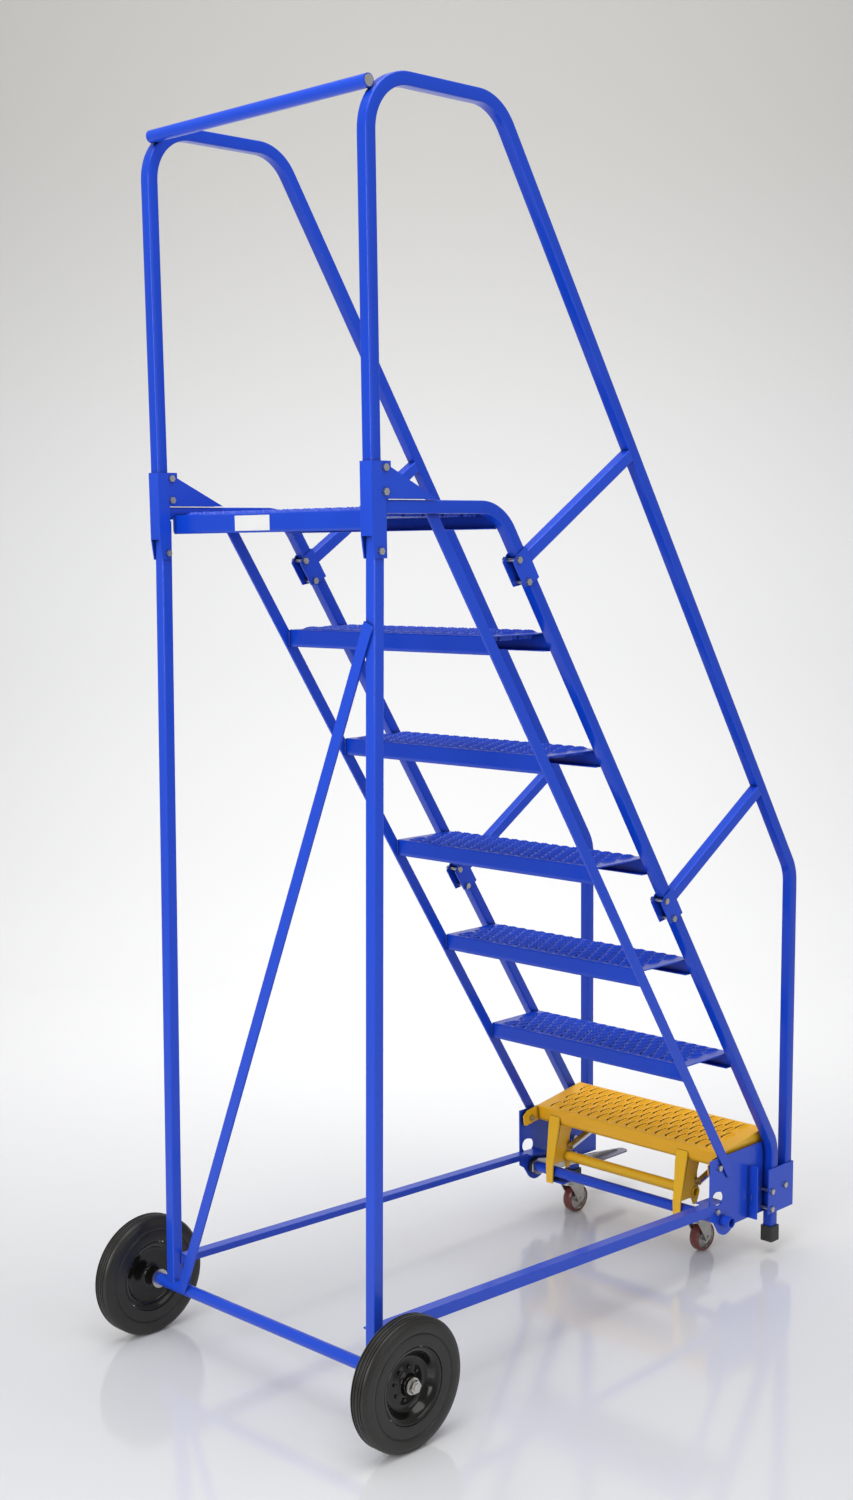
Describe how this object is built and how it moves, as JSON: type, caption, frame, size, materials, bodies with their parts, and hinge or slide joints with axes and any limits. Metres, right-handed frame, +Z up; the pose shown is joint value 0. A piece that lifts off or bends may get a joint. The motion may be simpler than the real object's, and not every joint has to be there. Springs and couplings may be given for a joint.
{
  "type": "mobile ladder stand",
  "caption": "Rolling ladder stand with grip treads, platform, bent handrails, large rear wheels and a tilting front lock step over swivel casters.",
  "frame": {"origin": "centre of the footprint on the floor", "axes": "+Z up, +Y towards the platform end and rear wheels, +X to the climber's right"},
  "size_m": [0.88, 1.653, 2.576],
  "materials": {
    "blue_paint": "gloss powder coat",
    "yellow_paint": "gloss powder coat",
    "zinc": "zinc plated",
    "label_white": "blank printed film",
    "black_rubber": "moulded",
    "tyre_grey": "moulded rubber",
    "rim_black": "satin black",
    "caster_red": "cast polyurethane",
    "pedal_grey": "satin grey",
    "bright_chrome": "bright plated"
  },
  "bodies": {
    "frame": {"axle_hardware": "zinc", "axle_rod": "zinc", "axle_tube": "blue_paint", "bracket_bolts": "zinc", "clamp_bolts": "zinc", "cross_brace": "blue_paint", "foot_tip_l": "black_rubber", "foot_tip_r": "black_rubber", "front_stringer_l": "blue_paint", "front_stringer_r": "blue_paint", "handrail_brace_l": "blue_paint", "handrail_brace_r": "blue_paint", "handrail_l": "blue_paint", "handrail_r": "blue_paint", "hinge_bolts": "zinc", "label_plate": "label_white", "lower_bracket_l": "blue_paint", "lower_bracket_r": "blue_paint", "platform": "blue_paint", "platform_edges": "blue_paint", "rear_bracket_l": "blue_paint", "rear_bracket_r": "blue_paint", "rear_post_l": "blue_paint", "rear_post_r": "blue_paint", "rear_stringer_l": "blue_paint", "rear_stringer_r": "blue_paint", "side_plate_l": "blue_paint", "side_plate_r": "blue_paint", "side_rail_l": "blue_paint", "side_rail_r": "blue_paint", "step_2": "blue_paint", "step_3": "blue_paint", "step_4": "blue_paint", "step_5": "blue_paint", "step_6": "blue_paint", "stringer_clamp_l": "blue_paint", "stringer_clamp_r": "blue_paint", "top_bar": "blue_paint", "top_bar_plugs": "zinc"},
    "wheel_left": {"tyre_l": "tyre_grey", "wheel_rim_l": "rim_black"},
    "wheel_right": {"tyre_r": "tyre_grey", "wheel_rim_r": "rim_black"},
    "carriage": {"carriage_tube": "blue_paint", "caster_mounts": "blue_paint", "caster_tops": "zinc", "carriage_bushes": "black_rubber"},
    "fork_left": {"caster_fork_l": "zinc"},
    "fork_right": {"caster_fork_r": "zinc"},
    "caster_left": {"caster_core_l": "zinc", "caster_tread_l": "caster_red"},
    "caster_right": {"caster_core_r": "zinc", "caster_tread_r": "caster_red"},
    "lock_step": {"lock_tread": "yellow_paint", "lock_cheeks": "yellow_paint", "lock_arms": "yellow_paint", "lock_tube": "yellow_paint", "return_springs": "bright_chrome"},
    "pedal": {"pedal_blade": "pedal_grey", "pedal_link": "zinc"}
  },
  "joints": [
    {"name": "wheel_left_spin", "type": "hinge", "parent": "frame", "child": "wheel_left", "pos_m": [-0.4095, 0.6915, 0.135], "axis": [1, 0, 0], "continuous": true},
    {"name": "wheel_right_spin", "type": "hinge", "parent": "frame", "child": "wheel_right", "pos_m": [0.4095, 0.6915, 0.135], "axis": [1, 0, 0], "continuous": true},
    {"name": "lock_step_tilt", "type": "hinge", "parent": "frame", "child": "lock_step", "pos_m": [0, -0.4605, 0.258], "axis": [1, 0, 0], "range_deg": [0, 8.5], "stiffness_Nm_per_rad": 60, "springref_deg": -28.65},
    {"name": "carriage_lift", "type": "hinge", "parent": "frame", "child": "carriage", "pos_m": [0, -0.4765, 0.124], "axis": [-1, 0, 0], "range_deg": [0, 22], "stiffness_Nm_per_rad": 40, "springref_deg": -57.3},
    {"name": "caster_left_swivel", "type": "hinge", "parent": "carriage", "child": "fork_left", "pos_m": [-0.1915, -0.5205, 0.084], "axis": [0, 0, 1], "continuous": true},
    {"name": "caster_right_swivel", "type": "hinge", "parent": "carriage", "child": "fork_right", "pos_m": [0.2185, -0.5205, 0.084], "axis": [0, 0, 1], "continuous": true},
    {"name": "caster_left_roll", "type": "hinge", "parent": "fork_left", "child": "caster_left", "pos_m": [-0.1915, -0.5485, 0.0375], "axis": [1, 0, 0], "continuous": true},
    {"name": "caster_right_roll", "type": "hinge", "parent": "fork_right", "child": "caster_right", "pos_m": [0.2185, -0.5485, 0.0375], "axis": [1, 0, 0], "continuous": true},
    {"name": "pedal_press", "type": "hinge", "parent": "frame", "child": "pedal", "pos_m": [0.2865, -0.4765, 0.124], "axis": [1, 0, 0], "range_deg": [0, 8], "stiffness_Nm_per_rad": 8, "springref_deg": -22.92}
  ],
  "couplings": [
    {"joint": "carriage_lift", "follows": "lock_step_tilt", "ratio": 2.588}
  ]
}
